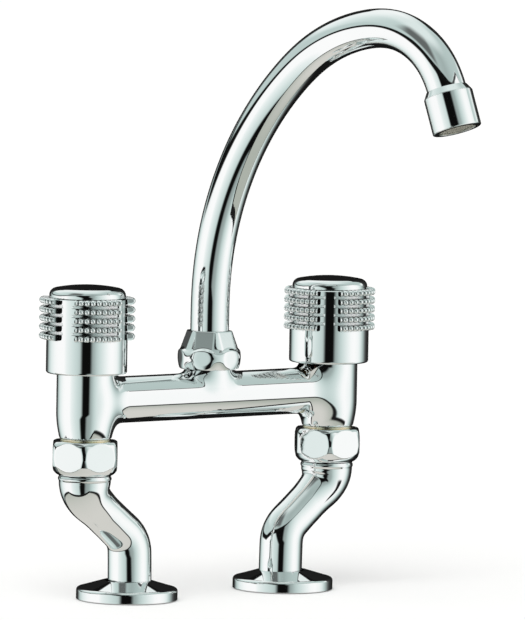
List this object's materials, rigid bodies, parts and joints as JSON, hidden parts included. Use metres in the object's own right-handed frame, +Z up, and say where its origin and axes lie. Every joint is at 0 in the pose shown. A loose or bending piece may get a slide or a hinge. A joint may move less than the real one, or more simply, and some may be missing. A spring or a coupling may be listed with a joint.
{
  "type": "kitchen bridge mixer tap",
  "caption": "Chrome deck-standing bridge mixer tap with cranked legs, beaded knobs and a swivelling swan-neck spout with an aerator.",
  "frame": {"origin": "on the deck, midway between the two feet, under the spout's swivel axis", "axes": "+X along the bridge from the hot side to the cold side, -Y towards the user, +Z up"},
  "size_m": [0.198, 0.189, 0.3004],
  "materials": {
    "chrome": "polished chrome plate on brass",
    "brass": "bare machined brass",
    "steel": "plain stainless steel",
    "mesh": "dark wet wire mesh",
    "rubber": "black sealing rubber",
    "fibre": "red fibre sealing sheet",
    "nylon": "white moulded nylon"
  },
  "bodies": {
    "body": {"bridge_body": "chrome", "spout_nut": "chrome", "spout_thrust_washer": "nylon", "hot_leg": "chrome", "hot_flange": "chrome", "hot_flange_gasket": "rubber", "hot_union_nut": "chrome", "hot_tail_ring": "brass", "hot_union_washer": "fibre", "hot_bonnet": "brass", "hot_bonnet_seal": "fibre", "cold_leg": "chrome", "cold_flange": "chrome", "cold_flange_gasket": "rubber", "cold_union_nut": "chrome", "cold_tail_ring": "brass", "cold_union_washer": "fibre", "cold_bonnet": "brass", "cold_bonnet_seal": "fibre"},
    "spout": {"spout_tube": "chrome", "spout_spigot": "brass", "spout_o_rings": "rubber", "spout_slip_ring": "nylon", "spout_end_fitting": "chrome", "aerator_housing": "chrome", "aerator_gasket": "rubber", "aerator_cartridge": "nylon", "aerator_screen": "mesh"},
    "hot_control": {"hot_knob": "chrome", "hot_knob_cap": "chrome", "hot_knob_screw": "steel", "hot_spindle": "brass", "hot_spindle_o_rings": "rubber", "hot_spindle_clip": "steel"},
    "hot_valve": {"hot_piston": "brass", "hot_valve_washer": "rubber", "hot_washer_screw": "steel"},
    "cold_control": {"cold_knob": "chrome", "cold_knob_cap": "chrome", "cold_knob_screw": "steel", "cold_spindle": "brass", "cold_spindle_o_rings": "rubber", "cold_spindle_clip": "steel"},
    "cold_valve": {"cold_piston": "brass", "cold_valve_washer": "rubber", "cold_washer_screw": "steel"}
  },
  "joints": [
    {"name": "spout_swivel", "type": "hinge", "parent": "body", "child": "spout", "pos_m": [0, 0, 0.124], "axis": [0, 0, 1], "continuous": true},
    {"name": "hot_knob_turn", "type": "hinge", "parent": "body", "child": "hot_control", "pos_m": [-0.075, 0, 0.131], "axis": [0, 0, 1], "range_deg": [0, 720]},
    {"name": "hot_valve_lift", "type": "slide", "parent": "body", "child": "hot_valve", "axis": [0, 0, 1], "range_m": [0, 0.0041]},
    {"name": "cold_knob_turn", "type": "hinge", "parent": "body", "child": "cold_control", "pos_m": [0.075, 0, 0.131], "axis": [0, 0, 1], "range_deg": [0, 720]},
    {"name": "cold_valve_lift", "type": "slide", "parent": "body", "child": "cold_valve", "axis": [0, 0, 1], "range_m": [0, 0.0041]}
  ],
  "couplings": [
    {"joint": "hot_valve_lift", "follows": "hot_knob_turn", "m_per_rad": 0.00031831},
    {"joint": "cold_valve_lift", "follows": "cold_knob_turn", "m_per_rad": 0.00031831}
  ]
}
